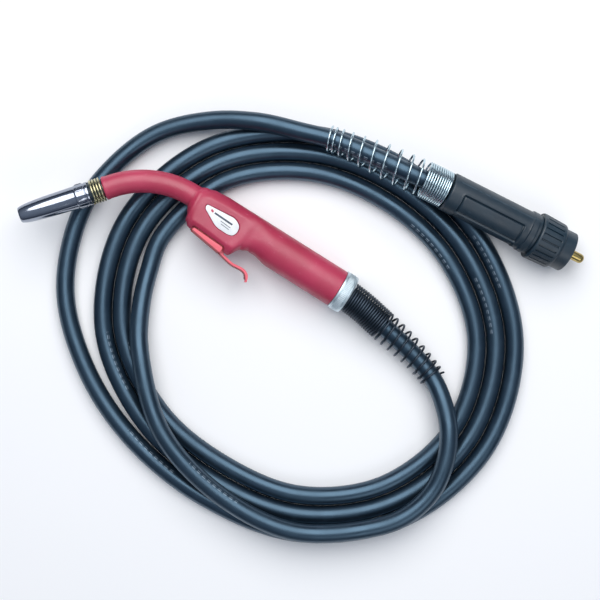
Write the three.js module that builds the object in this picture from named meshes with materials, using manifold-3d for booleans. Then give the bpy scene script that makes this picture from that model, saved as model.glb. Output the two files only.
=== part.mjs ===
// A MIG welding torch with its cable and machine plug, in millimetres, +Z up.
// The torch lies on its side on a floor at Z = 0. X runs along the handle, from the nozzle
// towards the cable, and the trigger is on the -Y side. The cable lies in loose turns.
import * as THREE from 'three';
import { mergeVertices } from 'three/addons/utils/BufferGeometryUtils.js';
import Module from 'manifold-3d';

const wasm = await Module();
wasm.setup();

// ---------------------------------------------------------------- driving dimensions
const GAP = 0.3; // between pieces that touch
const RAD = Math.PI / 180;

// where the three stiff pieces rest
const HANDLE_REAR = [75.8, 38.8, 19.2]; // centre of the handle's rear end
const HANDLE_TILT = 5.2 * RAD; // nose up, because the front lies on a turn of cable
const PLUG_FRONT = [220.8, 173.5, 20.75]; // centre of the union nut's front edge
const PLUG_TILT = 7.8 * RAD; // front down, because the rear lies on the cable
const PLUG_YAW = 6.1 * RAD;

// handle
const HANDLE_L = 151;
const HANDLE_WALL = 2.6;
const CAVITY_HALF_W = 6.2; // slot that the trigger works in
const SPIGOT_R = 13.6;
const SPIGOT_L = 8;
const RING_R = 18.2;
const RING_L = 11.4;

// neck, as a bend in the plane of the trigger
const NECK_OFFSET = 1.8; // towards +Y from the handle's axis
const NECK_BEND_R = 83.5;
const NECK_BEND = 50 * RAD;
const NECK_STRAIGHT = 8.5;
const SLEEVE_R = 10.25;
const NECK_TUBE_R = 6;
const NECK_BORE_R = 2.2;

// nozzle, measured along its own axis from the end of the neck sleeve
const NOZZLE_START = 12.8;
const NOZZLE_END = 76.2;
const NOZZLE_BASE_R = 10.4;
const NOZZLE_TIP_R = 7.1;
const NOZZLE_BORE_R = 6;
const TIP_R = 4;
const TIP_END = 71;

// trigger
const PIVOT = [-141, -20.4]; // handle frame
const LEVER_HALF_W = 5.6;
const CHEEK_HALF_W = 11.8; // the lever where it shows in the slots
const SWITCH_ARM = 12; // pivot to switch button, along the handle

// cable
const CABLE_R = 8.2;
const CABLE_SIDES = 10;
const CABLE_STEPS = 150;
const SPRING_STEPS = 7; // of those steps, inside each spring
const SPRING_REACH = 135; // length of cable inside each spring
const FLOOR = CABLE_R + 0.2; // height of the centre of a strand that lies on the floor

// machine plug, measured along its own axis from the union nut's front edge
const HOUSING_START = -110.7;
const HOUSING_END = -24;
const HOUSING_R = [17.5, 18.2];
const NUT_L = 23.5;
const NUT_R = [21.7, 20.8];
const NUT_RIBS = 24;
const SKIRT_R = 18.2;
const SKIRT_L = 11.3;
const SKIRT_BORE_R = 15.4;
const PLUG_FACE = 2; // flat front face of the plug body
const NIPPLE_R = 4.3;
const NIPPLE_END = 27.6;
const PIN_R = 2;
const PIN_CIRCLE_R = 9.4;

// ---------------------------------------------------------------- materials
const finish = (color, roughness, metalness) =>
  new THREE.MeshStandardMaterial({ color, roughness, metalness });
const redPlastic = () => finish(0xc8415a, 0.55, 0);
const triggerPlastic = () => finish(0xee7a82, 0.5, 0);
const blackPlastic = () => finish(0x262e38, 0.5, 0);
const cableRubber = () => finish(0x18222b, 0.45, 0);
const brass = () => finish(0xb59a55, 0.35, 1);
const copper = () => finish(0xb87048, 0.35, 1);
const chrome = () => finish(0xcfd6e0, 0.12, 1);
const steel = () => finish(0xb8bec4, 0.35, 1);
const blackWire = () => finish(0x1c2024, 0.4, 0.4);
const white = () => finish(0xe9ecef, 0.4, 0);

// ---------------------------------------------------------------- solids
function toSolid(geometry) {
  const bare = geometry.clone();
  bare.deleteAttribute('normal');
  bare.deleteAttribute('uv');
  const merged = mergeVertices(bare, 1e-4);
  return new wasm.Manifold(new wasm.Mesh({
    numProp: 3,
    vertProperties: new Float32Array(merged.attributes.position.array),
    triVerts: new Uint32Array(merged.index.array),
  }));
}

function toGeometry(solid) {
  const mesh = solid.getMesh();
  const geometry = new THREE.BufferGeometry();
  geometry.setAttribute('position', new THREE.BufferAttribute(mesh.vertProperties, 3));
  geometry.setIndex(new THREE.BufferAttribute(mesh.triVerts, 1));
  geometry.computeVertexNormals();
  return geometry;
}

function cut(geometry, ...tools) {
  let solid = toSolid(geometry);
  for (const tool of tools) solid = solid.subtract(toSolid(tool));
  return toGeometry(solid);
}

function mesh(name, geometry, material) {
  const piece = new THREE.Mesh(geometry, material);
  piece.name = name;
  return piece;
}

// A closed [x, radius] outline turned about the X axis.
function turned(outline, segments = 28) {
  const points = outline.map(([x, r]) => new THREE.Vector2(r, x));
  const closed = outline[0][1] > 0 || outline.at(-1)[1] > 0;
  if (closed) points.push(points[0].clone());
  return new THREE.LatheGeometry(points, segments).rotateZ(-Math.PI / 2);
}

// A tube or ring about the X axis.
const ring = (x0, x1, inner, outer, segments) =>
  turned([[x0, inner], [x0, outer], [x1, outer], [x1, inner]], segments);

// A round bar about the X axis.
const bar = (x0, x1, r, segments = 24) =>
  new THREE.CylinderGeometry(r, r, x1 - x0, segments).rotateZ(Math.PI / 2)
    .translate((x0 + x1) / 2, 0, 0);

// A box from its lowest to its highest corner.
const block = (low, high) =>
  new THREE.BoxGeometry(high[0] - low[0], high[1] - low[1], high[2] - low[2])
    .translate((low[0] + high[0]) / 2, (low[1] + high[1]) / 2, (low[2] + high[2]) / 2);

// An XY outline made as thick as z0 to z1.
function slab(shape, z0, z1, curveSegments = 6) {
  return new THREE.ExtrudeGeometry(shape, { depth: z1 - z0, bevelEnabled: false, curveSegments })
    .translate(0, 0, z0);
}

function polygon(r, sides, hole = 0) {
  const loop = (radius) => Array.from({ length: sides }, (_, i) => new THREE.Vector2(
    radius * Math.cos((2 * Math.PI * i) / sides), radius * Math.sin((2 * Math.PI * i) / sides)));
  const shape = new THREE.Shape(loop(r));
  if (hole) shape.holes.push(new THREE.Path(loop(hole)));
  return shape;
}

const sweep = (shape, path, steps) =>
  new THREE.ExtrudeGeometry(shape, { steps, extrudePath: path, bevelEnabled: false });

// Reads y at x from a list of [x, y] stations, with an eased change between them.
function eased(stations, x) {
  const last = stations.length - 1;
  if (x <= stations[0][0]) return stations[0][1];
  if (x >= stations[last][0]) return stations[last][1];
  const i = stations.findIndex((station) => station[0] > x) - 1;
  const [x0, y0] = stations[i];
  const [x1, y1] = stations[i + 1];
  return y0 + (y1 - y0) * THREE.MathUtils.smoothstep(x, x0, x1);
}

// ---------------------------------------------------------------- springs
// A wire wound round a centre line: turnAt[i] is the distance along the line of turn i.
class Coil extends THREE.Curve {
  constructor(line, turnAt, radiusAt) {
    super();
    Object.assign(this, { line, turnAt, radiusAt, length: line.getLength() });
    this.arcLengthDivisions = (turnAt.length - 1) * 16;
  }

  getPoint(t) {
    const turns = this.turnAt.length - 1;
    const i = Math.min(Math.floor(t * turns), turns - 1);
    const part = t * turns - i;
    const along = this.turnAt[i] + (this.turnAt[i + 1] - this.turnAt[i]) * part;
    const u = THREE.MathUtils.clamp(along / this.length, 0, 1);
    const centre = this.line.getPointAt(u);
    const forward = this.line.getTangentAt(u);
    const side = new THREE.Vector3(0, 0, 1).cross(forward).normalize();
    const up = forward.clone().cross(side);
    const angle = 2 * Math.PI * part;
    const r = this.radiusAt(along);
    return centre.addScaledVector(side, r * Math.cos(angle)).addScaledVector(up, r * Math.sin(angle));
  }
}

function spring(name, coil, wireR, material, perTurn = 7, sides = 4) {
  const steps = (coil.turnAt.length - 1) * perTurn;
  return mesh(name, sweep(polygon(wireR, sides), coil, steps), material);
}

// Turn stations from a start, with a list of pitches.
function stations(start, pitches) {
  const list = [start];
  for (const pitch of pitches) list.push(list.at(-1) + pitch);
  return list;
}

// ---------------------------------------------------------------- handle
// Edges of the handle's side view, as [distance from the rear, distance from the axis].
const BACK_EDGE = [[0, 17.2], [122, 17.2], [135, 16.3], [143, 14.3], [151, 11.6]];
const TRIGGER_EDGE = [[0, 17.2], [64, 17.2], [80, 14.4], [85, 14.7], [91, 17], [99.5, 27.5],
  [137, 25.6], [141, 25], [145.5, 20.9], [148.5, 13], [151, 9]];
const HALF_THICKNESS = [[0, 17.2], [70, 17.2], [90, 16.2], [104, 15.4], [138, 15.4], [146, 13.6],
  [151, 11]];
const SQUARENESS = [[0, 2], [72, 2], [100, 3.4], [140, 3.2], [151, 2.2]];
const HANDLE_STATIONS = [0, 64, 70, 75, 80, 86, 91, 94, 97, 99.5, 107, 122, 130, 137, 142, 146,
  149, 151];

// One station of the handle: a rounded loop from the back edge to the trigger edge.
function handlePoint(s, angle, inset) {
  const back = eased(BACK_EDGE, s) - inset;
  const front = eased(TRIGGER_EDGE, s) - inset;
  const thick = eased(HALF_THICKNESS, s) - inset;
  const power = 2 / eased(SQUARENESS, s);
  const c = Math.cos(angle);
  const q = Math.sin(angle);
  const y = (back - front) / 2 + ((back + front) / 2) * Math.sign(c) * Math.abs(c) ** power;
  return [-s, y, thick * Math.sign(q) * Math.abs(q) ** power];
}

// A closed skin through loops of points, with flat ends.
function loft(loops) {
  const positions = [];
  const index = [];
  const n = loops[0].length;
  loops.forEach((loop) => loop.forEach((point) => positions.push(...point)));
  for (let k = 0; k + 1 < loops.length; k++) {
    for (let i = 0; i < n; i++) {
      const a = k * n + i;
      const b = k * n + ((i + 1) % n);
      index.push(a, a + n, b, b, a + n, b + n);
    }
  }
  const last = (loops.length - 1) * n;
  for (let i = 1; i + 1 < n; i++) {
    index.push(0, i, i + 1, last, last + i + 1, last + i);
  }
  const geometry = new THREE.BufferGeometry();
  geometry.setAttribute('position', new THREE.Float32BufferAttribute(positions, 3));
  geometry.setIndex(index);
  return geometry;
}

function handleBody(inset, list, points = 32) {
  return loft(list.map((s) => Array.from({ length: points },
    (_, i) => handlePoint(s, (2 * Math.PI * i) / points, inset))));
}

const SCREW_SPOTS = [[-24, 0], [-62, 0], [-98, 9], [-116, -3]];
const SCREW_HEAD_R = 2.7;
const SCREW_SHANK_R = 1.4;
const SCREW_HEAD_Z = -9.5;

const BADGE = [[-137, 1.5], [-109.4, 3.9], [-102.8, 0], [-101.9, -5.8], [-103.8, -10.2],
  [-108.4, -11.5], [-120.6, -11.1], [-136.6, -2.4]];
const BADGE_Z = 15.15;
const BADGE_DEPTH = 0.7;

// The badge's outline with rounded corners, grown or shrunk by a margin.
function badgeShape(margin) {
  const cx = BADGE.reduce((sum, p) => sum + p[0], 0) / BADGE.length;
  const cy = BADGE.reduce((sum, p) => sum + p[1], 0) / BADGE.length;
  const grown = BADGE.map(([x, y]) => {
    const d = Math.hypot(x - cx, y - cy);
    return new THREE.Vector3(cx + ((x - cx) * (d + margin)) / d, cy + ((y - cy) * (d + margin)) / d, 0);
  });
  const outline = new THREE.CatmullRomCurve3(grown, true, 'centripetal').getPoints(27);
  return new THREE.Shape(outline.slice(0, -1).map((p) => new THREE.Vector2(p.x, p.y)));
}

const neckDirection = new THREE.Vector3(-Math.cos(NECK_BEND), -Math.sin(NECK_BEND), 0);

// The neck's centre line in the handle frame, from inside the handle to the sleeve's end.
function neckLine(start) {
  const bendStart = new THREE.Vector3(-HANDLE_L, NECK_OFFSET, 0);
  const bend = [];
  const steps = 14;
  for (let i = 1; i <= steps; i++) {
    const a = (NECK_BEND * i) / steps;
    bend.push(new THREE.Vector3(-HANDLE_L - NECK_BEND_R * Math.sin(a),
      NECK_OFFSET - NECK_BEND_R * (1 - Math.cos(a)), 0));
  }
  const points = [new THREE.Vector3(-start, NECK_OFFSET, 0), bendStart, ...bend,
    bend.at(-1).clone().addScaledVector(neckDirection, NECK_STRAIGHT)];
  return new THREE.CatmullRomCurve3(points, false, 'centripetal');
}
const NECK_END = neckLine(HANDLE_L - 20).points.at(-1);

function handleShells() {
  const full = handleBody(0, HANDLE_STATIONS, 26);
  const spigot = bar(0, SPIGOT_L, SPIGOT_R, 28);
  const hollow = handleBody(HANDLE_WALL, [6, 64, 80, 90, 100, 122, 138, 145], 14);
  const rearHole = bar(-8, SPIGOT_L + 1, 10.6, 24);
  const frontHole = sweep(polygon(SLEEVE_R + GAP, 24), new THREE.LineCurve3(
    new THREE.Vector3(-140, NECK_OFFSET, 0), new THREE.Vector3(-160, NECK_OFFSET, 0)), 1);
  const slotShape = new THREE.Shape();
  slotShape.moveTo(-104.2, -40);
  slotShape.lineTo(-104.2, -24);
  slotShape.quadraticCurveTo(-104.2, -21.6, -107, -21.6);
  slotShape.lineTo(-135.5, -20.2);
  slotShape.quadraticCurveTo(-137.6, -20.2, -137.6, -23);
  slotShape.lineTo(-137.6, -40);
  const slot = slab(slotShape, -20, 20);
  const leverRoom = block([-144.6, -40, -CAVITY_HALF_W], [-84, -14, CAVITY_HALF_W]);
  const cheekRoom = block([-137.4, -26, -CHEEK_HALF_W - 0.5], [-104.4, -14.6, CHEEK_HALF_W + 0.5]);
  let solid = toSolid(full).add(toSolid(spigot)).subtract(toSolid(hollow))
    .subtract(toSolid(rearHole)).subtract(toSolid(frontHole))
    .subtract(toSolid(slot)).subtract(toSolid(leverRoom)).subtract(toSolid(cheekRoom));
  // bosses that take the screws, and the two that hold the trigger's pin
  for (const [x, y] of SCREW_SPOTS) {
    const post = new THREE.CylinderGeometry(4.4, 4.4, 44, 12).rotateX(Math.PI / 2).translate(x, y, 0);
    solid = solid.add(toSolid(post).intersect(toSolid(handleBody(0.5, [0, 64, 80, 99, 122, 140, 148], 14))));
  }
  const pinBoss = new THREE.CylinderGeometry(3.2, 3.2, 44, 14).rotateX(Math.PI / 2)
    .translate(PIVOT[0], PIVOT[1], 0);
  solid = solid.add(toSolid(pinBoss).intersect(toSolid(handleBody(0.5, [0, 64, 80, 99, 122, 140, 148], 14)))
    .subtract(toSolid(leverRoom)));
  solid = solid.subtract(toSolid(frontHole)).subtract(toSolid(new THREE.CylinderGeometry(1.5 + GAP,
    1.5 + GAP, 22, 16).rotateX(Math.PI / 2).translate(PIVOT[0], PIVOT[1], 0)));
  for (const [x, y] of SCREW_SPOTS) {
    const shank = new THREE.CylinderGeometry(SCREW_SHANK_R + GAP, SCREW_SHANK_R + GAP, 20, 12)
      .rotateX(Math.PI / 2).translate(x, y, 0);
    const pocket = new THREE.CylinderGeometry(SCREW_HEAD_R + GAP, SCREW_HEAD_R + GAP, 20, 16)
      .rotateX(Math.PI / 2).translate(x, y, SCREW_HEAD_Z - 10 + GAP);
    solid = solid.subtract(toSolid(shank)).subtract(toSolid(pocket));
  }
  const badgePocket = slab(badgeShape(GAP), BADGE_Z - BADGE_DEPTH - GAP, 30);
  solid = solid.subtract(toSolid(badgePocket));
  const above = toSolid(block([-200, -60, GAP / 2], [60, 60, 60]));
  const below = toSolid(block([-200, -60, -60], [60, 60, -GAP / 2]));
  return [
    mesh('handle_shell_left', toGeometry(solid.intersect(above)), redPlastic()),
    mesh('handle_shell_right', toGeometry(solid.intersect(below)), redPlastic()),
  ];
}

function handleScrews() {
  return SCREW_SPOTS.map(([x, y], i) => {
    const outline = [[-17, 0], [-17, SCREW_SHANK_R], [0, SCREW_SHANK_R], [0, SCREW_HEAD_R],
      [1.6, SCREW_HEAD_R], [2.2, 1.2], [2.2, 0]];
    const screw = mesh(`handle_screw_${i + 1}`, turned(outline, 14), steel());
    screw.rotation.y = Math.PI / 2; // the head looks down, away from the badge
    screw.position.set(x, y, SCREW_HEAD_Z);
    return screw;
  });
}

function badge() {
  return mesh('badge_plate', slab(badgeShape(0), BADGE_Z - BADGE_DEPTH, BADGE_Z), white());
}

function lockRing() {
  const outline = [[GAP, SPIGOT_R + GAP], [GAP, RING_R - 0.6], [GAP + 0.6, RING_R],
    [RING_L - 0.8, RING_R], [RING_L, RING_R - 0.8], [RING_L, 10.4], [SPIGOT_L + GAP, 10.4],
    [SPIGOT_L + GAP, SPIGOT_R + GAP]];
  return mesh('lock_ring', turned(outline, 32), steel());
}

function cableSocket() {
  const outline = [[-14, 2.5], [-14, 10.2], [-3.4, 10.2], [-3.4, 8.4], [2.6, 8.4], [2.6, 2.5]];
  return mesh('cable_socket_front', turned(outline, 18), brass());
}

// ---------------------------------------------------------------- trigger
function triggerLever() {
  const shape = new THREE.Shape();
  // outer edge of the bar, with its ribs, from the pivot back to the tail
  shape.moveTo(-143.4, -21.6);
  shape.lineTo(-142.2, -23.3);
  shape.lineTo(-139.4, -24.4);
  const ribs = 9;
  const from = new THREE.Vector2(-136.6, -26);
  const to = new THREE.Vector2(-106.5, -29.6);
  for (let i = 0; i < ribs; i++) {
    const a = from.clone().lerp(to, i / ribs);
    const b = from.clone().lerp(to, (i + 0.5) / ribs);
    shape.lineTo(a.x, a.y + 0.7);
    shape.lineTo(a.x + 0.4, a.y);
    shape.lineTo(b.x, b.y);
    shape.lineTo(b.x + 0.4, b.y + 0.7);
  }
  // the tail and its curled tip
  shape.lineTo(-105, -30.6);
  shape.bezierCurveTo(-99.7, -31.8, -93, -33.8, -88.5, -33.4);
  shape.bezierCurveTo(-84, -32.8, -79.8, -32, -77.4, -34.2);
  shape.quadraticCurveTo(-75.6, -36, -74.4, -38.6);
  shape.quadraticCurveTo(-72.9, -39.4, -71.7, -38);
  shape.quadraticCurveTo(-72.4, -33.2, -75.4, -31);
  shape.bezierCurveTo(-79.5, -28.2, -84, -29.3, -88.5, -29.9);
  shape.bezierCurveTo(-92.5, -30.2, -97, -28.8, -101.6, -28);
  // inner edge: the web inside the housing, with the pad that works the switch
  const button = PIVOT[0] + SWITCH_ARM;
  const inner = [[-102.4, -26.8], [-102.8, -21.2], [-104.2, -20], [-118.5, -19.2], [-126, -18.9],
    [button + 1.2, -18.4], [button - 1.2, -18.4], [button - 2, -18.8], [-137, -18.4]];
  for (const [x, y] of inner) shape.lineTo(x, y);
  shape.absarc(PIVOT[0], PIVOT[1], 3.1, 0.62, Math.PI + 0.35, false);
  const hole = new THREE.Path();
  hole.absarc(PIVOT[0], PIVOT[1], 1.5 + GAP, 0, 2 * Math.PI, true);
  shape.holes.push(hole);
  // the wide cheeks that fill the housing's slots, and the pocket for the spring
  const cheeks = new THREE.Shape([[-136.4, -20.4], [-136.4, -25.1], [-106.6, -28.7],
    [-105.4, -27.4], [-105.4, -22], [-107.6, -19.8], [-135.8, -19.4]]
    .map(([x, y]) => new THREE.Vector2(x, y)));
  const solid = toSolid(slab(shape, -LEVER_HALF_W, LEVER_HALF_W, 5))
    .add(toSolid(slab(cheeks, -CHEEK_HALF_W, CHEEK_HALF_W)))
    .subtract(toSolid(block([-118.5, -22, -2.8], [-111.9, -18, 2.8])));
  return mesh('trigger_lever', toGeometry(solid), triggerPlastic());
}

function triggerPin() {
  const pin = new THREE.CylinderGeometry(1.5, 1.5, 20, 14).rotateX(Math.PI / 2)
    .translate(PIVOT[0], PIVOT[1], 0);
  return mesh('trigger_pin', pin, steel());
}

function microSwitch() {
  const button = PIVOT[0] + SWITCH_ARM;
  const channel = block([button - 1.8, -16, -4], [button + 1.8, -11.6, 4]);
  const body = block([-134, -15, -3.2], [-112, -8.5, 3.2]);
  return [
    mesh('micro_switch', cut(body, channel), blackPlastic()),
    mesh('switch_button', block([button - 1.5, -18.1, -1.5], [button + 1.5, -14.2, 1.5]),
      triggerPlastic()),
  ];
}

function triggerSpring() {
  const line = new THREE.LineCurve3(new THREE.Vector3(-115.2, -16.1, 0),
    new THREE.Vector3(-115.2, -21.6, 0));
  const coil = new Coil(line, stations(0, [1.1, 1.4, 1.5, 1.4]), () => 1.9);
  return spring('trigger_spring', coil, 0.4, steel(), 8, 4);
}

// ---------------------------------------------------------------- neck and nozzle
function neckParts() {
  const sleeve = sweep(polygon(SLEEVE_R, 18, NECK_TUBE_R + GAP), neckLine(HANDLE_L - 11), 16);
  const tube = sweep(polygon(NECK_TUBE_R, 10, NECK_BORE_R), neckLine(HANDLE_L - 30), 18);
  const stub = ring(0.1, 13.6, NECK_BORE_R, NECK_TUBE_R, 10);
  stub.applyMatrix4(noseMatrix());
  return [
    mesh('neck_sleeve', sleeve, redPlastic()),
    mesh('neck_tube', tube, brass()),
    mesh('neck_tube_end', stub, brass()),
  ];
}

function noseMatrix() {
  return new THREE.Matrix4().makeRotationZ(Math.PI + NECK_BEND)
    .setPosition(NECK_END.x, NECK_END.y, 0);
}

function noseParts() {
  const nose = new THREE.Group();
  nose.applyMatrix4(noseMatrix());
  const seat = turned([[0.4, NECK_TUBE_R + GAP], [0.4, 8.4], [18.5, 8.4], [18.5, NECK_TUBE_R + GAP]], 20);
  const springLine = new THREE.LineCurve3(new THREE.Vector3(0, 0, 0), new THREE.Vector3(14, 0, 0));
  const coil = new Coil(springLine, stations(1.5, [2.5, 2.5, 2.5, 2.5]), () => 9.9);
  const nozzle = turned([
    [NOZZLE_START, 9.1], [NOZZLE_START, NOZZLE_BASE_R - 0.5], [NOZZLE_START + 0.5, NOZZLE_BASE_R],
    [NOZZLE_START + 12, NOZZLE_BASE_R], [NOZZLE_START + 12.6, NOZZLE_BASE_R - 0.4],
    [NOZZLE_START + 34, 9.7], [NOZZLE_END - 14, 9], [NOZZLE_END - 6, 8.2],
    [NOZZLE_END - 1.2, NOZZLE_TIP_R], [NOZZLE_END, NOZZLE_TIP_R - 0.6], [NOZZLE_END, NOZZLE_BORE_R],
    [NOZZLE_END - 17, 7.2], [NOZZLE_START + 34, 8.5], [NOZZLE_START + 12, 9.1]], 24);
  const diffuser = turned([[14, 1.4], [14, 5.6], [19, 5.6], [19, 7.4], [31, 7.4], [34, 5.6], [41, 5.2],
    [41, 3.3], [33, 3.3], [33, 1.4]], 16);
  const tip = turned([[33.4, 0.7], [33.4, 3], [41.4, 3], [41.4, TIP_R], [TIP_END - 3, TIP_R],
    [TIP_END, 2.6], [TIP_END, 0.7]], 16);
  nose.add(mesh('nozzle_seat', seat, blackPlastic()));
  nose.add(spring('nozzle_spring', coil, 1, brass(), 10, 5));
  nose.add(mesh('gas_nozzle', nozzle, chrome()));
  nose.add(mesh('gas_diffuser', diffuser, brass()));
  nose.add(mesh('contact_tip', tip, copper()));
  return nose;
}

// ---------------------------------------------------------------- cable
// Out of the handle, up over the strands on the right, along the top of the bottom bundle, and
// down to the floor on the left.
const CABLE_START = [
  [80, 38.8, 18.8], [104, 36.6, 16.9], [127, 32.4, 15.4], [149, 28.4, 14.5], [171, 23.2, 14.2],
  [191, 15.8, 15.6], [209, 3, 20], [225.5, -15, 24.4], [237.5, -39.5, 26], [242, -68, 26],
  [235, -97, 26], [216.5, -122.5, 26], [156, -164.5, 26], [82, -171.5, 26], [10.5, -151, 27],
  [-43.5, -101.5, 22.2], [-63, -71, 14.5], [-76, -37, 10], [-82.5, -3, 8.5],
];
// The outermost strand, and up over the others into the plug.
const CABLE_FINISH = [
  [-8.5, -173.5, FLOOR], [-76.5, -142.5, FLOOR], [-131, -91.5, FLOOR], [-156.5, -22, FLOOR],
  [-153, 26, FLOOR], [-135.5, 70.5, 10.5], [-102, 104.5, 15.5], [-63, 126.5, 23.5],
  [-24, 139.6, 27], [3, 147.6, 30.5], [44, 153.9, 36], [70, 156.8, 38.2],
];
// The turns between them lie side by side on the floor. Each is an oval about TURN_CENTRE, whose
// radius is read clockwise from +X at every TURN_STEP, and grows by TURN_GROWTH a turn.
const TURN_CENTRE = [74, -11];
const TURN_SHAPE = [139.7, 133.7, 124.2, 116.7, 125.2, 140.7, 148.7, 145.7, 134.2, 126.7, 129.7, 137.7];
const TURN_GROWTH = 17.2;
const TURN_STEP = 360 / TURN_SHAPE.length;
const FIRST_TURN_ANGLE = 210;
const LAST_TURN_ANGLE = 1170;

function looseTurns() {
  const points = [];
  for (let angle = FIRST_TURN_ANGLE; angle <= LAST_TURN_ANGLE; angle += TURN_STEP) {
    const shape = TURN_SHAPE[(angle / TURN_STEP) % TURN_SHAPE.length];
    const r = shape + (TURN_GROWTH * angle) / 360;
    points.push([TURN_CENTRE[0] + r * Math.cos(angle * RAD),
      TURN_CENTRE[1] - r * Math.sin(angle * RAD), FLOOR]);
  }
  return points;
}
const CABLE_ROUTE = [...CABLE_START, ...looseTurns(), ...CABLE_FINISH];

const plug = new THREE.Group();
plug.position.set(...PLUG_FRONT);
plug.rotation.set(0, PLUG_TILT, PLUG_YAW, 'ZYX');
plug.updateMatrixWorld(true);
const onPlugAxis = (u) => new THREE.Vector3(u, 0, 0).applyMatrix4(plug.matrixWorld);
const CABLE_END = HOUSING_START + 12;

const cableLine = new THREE.CatmullRomCurve3([
  ...CABLE_ROUTE.map((point) => new THREE.Vector3(...point)),
  onPlugAxis(HOUSING_START - 17), onPlugAxis(HOUSING_START + 0.5), onPlugAxis(CABLE_END)],
false, 'centripetal');
cableLine.arcLengthDivisions = 1600;

// The cable's line with its steps closer together inside the two springs.
class GradedLine extends THREE.Curve {
  along(u) {
    const total = cableLine.getLength();
    const step = u * CABLE_STEPS;
    const loose = CABLE_STEPS - 2 * SPRING_STEPS;
    if (step < SPRING_STEPS) return (step * SPRING_REACH) / SPRING_STEPS / total;
    if (step > SPRING_STEPS + loose) {
      return 1 - ((CABLE_STEPS - step) * SPRING_REACH) / SPRING_STEPS / total;
    }
    const part = (step - SPRING_STEPS) / loose;
    return (SPRING_REACH + part * (total - 2 * SPRING_REACH)) / total;
  }

  getPointAt(u) {
    return cableLine.getPointAt(this.along(u));
  }

  getTangentAt(u) {
    return cableLine.getTangentAt(this.along(u));
  }
}

function cable() {
  const tube = sweep(polygon(CABLE_R, CABLE_SIDES), new GradedLine(), CABLE_STEPS);
  return mesh('cable', tube, cableRubber());
}

// ---------------------------------------------------------------- strain relief springs
const FRONT_WIRE_R = 1;
const FRONT_CLOSE = Array(17).fill(2.34);
const FRONT_OPEN = [6, 7.8, 8.3, 8.3, 8.5, 8.2, 7.8, 5.6, 5];
const REAR_WIRE_R = 0.9;
const REAR_CLOSE = Array(11).fill(1.95);
const REAR_OPEN = [7.5, 9.8, 11.2, 11.5, 11.5, 11, 10.6, 8.4, 5.6, 4];

function strainReliefs() {
  const total = cableLine.getLength();
  const frontStart = RING_L - 4.2 + FRONT_WIRE_R + 0.4; // from the cable's own start
  const front = new Coil(cableLine, stations(frontStart, [...FRONT_CLOSE, ...FRONT_OPEN]),
    (along) => eased([[0, 13.3], [50, 13.3], [112, 11]], along));
  const rearPitches = [...REAR_CLOSE, ...REAR_OPEN].reverse();
  const rearLength = rearPitches.reduce((sum, pitch) => sum + pitch, 0);
  const rearEnd = total - (CABLE_END - HOUSING_START) - REAR_WIRE_R - 0.4;
  const rearStart = rearEnd - rearLength;
  const rear = new Coil(cableLine, stations(rearStart, rearPitches),
    (along) => eased([[0, 11.1], [70, 15.6], [90, 15.9]], along - rearStart));
  return [spring('front_spring', front, FRONT_WIRE_R, blackWire()),
    spring('rear_spring', rear, REAR_WIRE_R, steel())];
}

// ---------------------------------------------------------------- machine plug
const HOUSING_SCREWS = [-88, -42];

function housingShells() {
  const mid = HOUSING_START + 60;
  const outline = [[HOUSING_START, 10.2], [HOUSING_START, HOUSING_R[0] - 0.8],
    [HOUSING_START + 0.8, HOUSING_R[0]], [mid, (HOUSING_R[0] + HOUSING_R[1]) / 2],
    [HOUSING_END - 9, HOUSING_R[1] - 0.4], [HOUSING_END - 8, HOUSING_R[1] + 0.8],
    [HOUSING_END - 3, HOUSING_R[1] + 0.8], [HOUSING_END - 2.4, HOUSING_R[1]],
    [HOUSING_END, HOUSING_R[1]], [HOUSING_END, 13.5], [HOUSING_START + 6, 13.5],
    [HOUSING_START + 6, 10.2]];
  let solid = toSolid(turned(outline, 28));
  for (const x of HOUSING_SCREWS) {
    for (const [r, depth] of [[1.4 + GAP, 13], [2.7 + GAP, 30]]) {
      const tool = new THREE.CylinderGeometry(r, r, depth === 30 ? 20 : 22, 14).rotateX(Math.PI / 2)
        .translate(x, 15.4, depth === 30 ? -10 - 6 : 0);
      solid = solid.subtract(toSolid(tool));
    }
  }
  const above = toSolid(block([-200, -60, GAP / 2], [60, 60, 60]));
  const below = toSolid(block([-200, -60, -60], [60, 60, -GAP / 2]));
  return [mesh('plug_housing_upper', toGeometry(solid.intersect(above)), blackPlastic()),
    mesh('plug_housing_lower', toGeometry(solid.intersect(below)), blackPlastic())];
}

function housingScrews() {
  return HOUSING_SCREWS.map((x, i) => {
    const outline = [[-10, 0], [-10, 1.4], [0, 1.4], [0, 2.7], [1.8, 2.7], [2.3, 1.2], [2.3, 0]];
    const screw = mesh(`housing_screw_${i + 1}`, turned(outline, 14), steel());
    screw.rotation.y = Math.PI / 2;
    screw.position.set(x, 15.4, -6 + GAP - 0.6);
    return screw;
  });
}

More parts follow.
